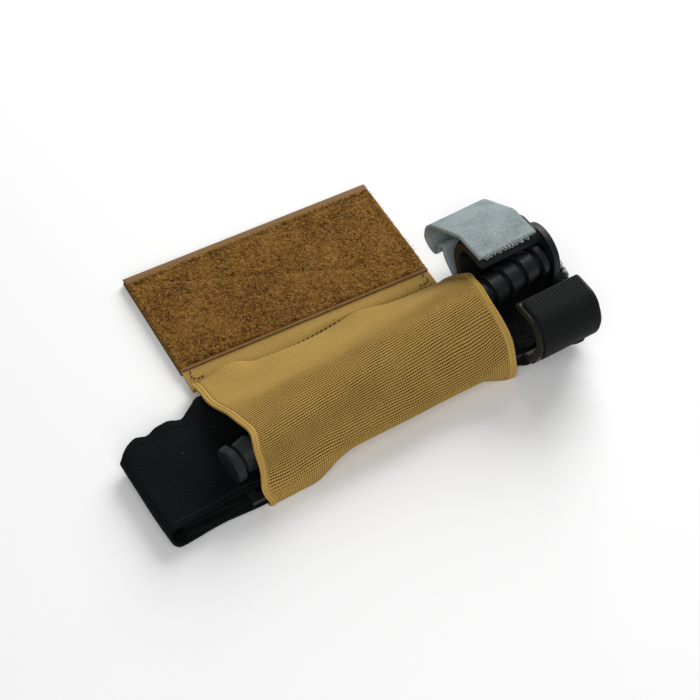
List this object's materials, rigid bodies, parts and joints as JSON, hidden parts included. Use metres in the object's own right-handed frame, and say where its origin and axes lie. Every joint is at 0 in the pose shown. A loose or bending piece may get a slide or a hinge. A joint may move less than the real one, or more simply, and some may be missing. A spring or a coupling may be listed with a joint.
{
  "type": "windlass tourniquet in elastic carrier",
  "caption": "Windlass tourniquet folded in a coyote elastic sleeve carrier with a hook-and-loop flap; clip, rod and grey time strap stand out at one end.",
  "frame": {"origin": "middle of the hook panel's gripping face, which rests on the carrier surface", "axes": "+Z away from the surface that the hook panel grips; +X along the folded tourniquet, towards its windlass clip"},
  "size_m": [0.1845, 0.1253, 0.0361],
  "materials": {
    "coyote_elastic": "woven elastic",
    "coyote_loop": "loop pile",
    "coyote_hook": "hook tape",
    "coyote_thread": "thread",
    "black_webbing": "ribbed webbing",
    "black_pile": "loop pile",
    "black_hook": "hook tape",
    "grey_thread": "thread",
    "black_plastic": "moulded, satin",
    "grey_strap": "brushed felt"
  },
  "bodies": {
    "holder": {"holder_sleeve": "coyote_elastic"},
    "flap": {"flap_elastic": "coyote_elastic", "hook_panel": "coyote_hook", "loop_panel": "coyote_loop", "loop_panel_stitching": "coyote_thread", "flap_box_stitches": "coyote_thread", "seam_stitching": "coyote_thread"},
    "tourniquet": {"self_adhering_band": "black_webbing", "band_pile_tail": "black_pile", "band_tip": "black_webbing", "band_stitching_near": "grey_thread", "band_stitching_far": "grey_thread", "inner_band": "black_webbing", "stabilization_plate": "black_plastic", "windlass_clip": "black_plastic", "clip_posts": "black_plastic", "hook_patch_near": "black_hook", "hook_patch_far": "black_hook", "strap_anchor": "grey_strap", "routing_buckle": "black_plastic"},
    "rod": {"windlass_rod": "black_plastic"},
    "strap": {"time_strap": "grey_strap"}
  },
  "joints": [
    {"name": "flap_fold", "type": "hinge", "parent": "holder", "child": "flap", "pos_m": [-0.00222, -0.03343, 0.0017], "axis": [0.9978, -0.0663, 0], "range_deg": [0, 90]},
    {"name": "pull_out", "type": "slide", "parent": "holder", "child": "tourniquet", "axis": [1, 0, 0], "range_m": [0, 0.22]},
    {"name": "rod_swing", "type": "hinge", "parent": "tourniquet", "child": "rod", "pos_m": [0.00545, -0.06781, 0.0198], "axis": [0, 0, 1], "range_deg": [-2, 0]},
    {"name": "strap_peel", "type": "hinge", "parent": "tourniquet", "child": "strap", "pos_m": [0.0642, -0.02761, 0.0126], "axis": [-1, 0, 0], "range_deg": [0, 120]}
  ]
}
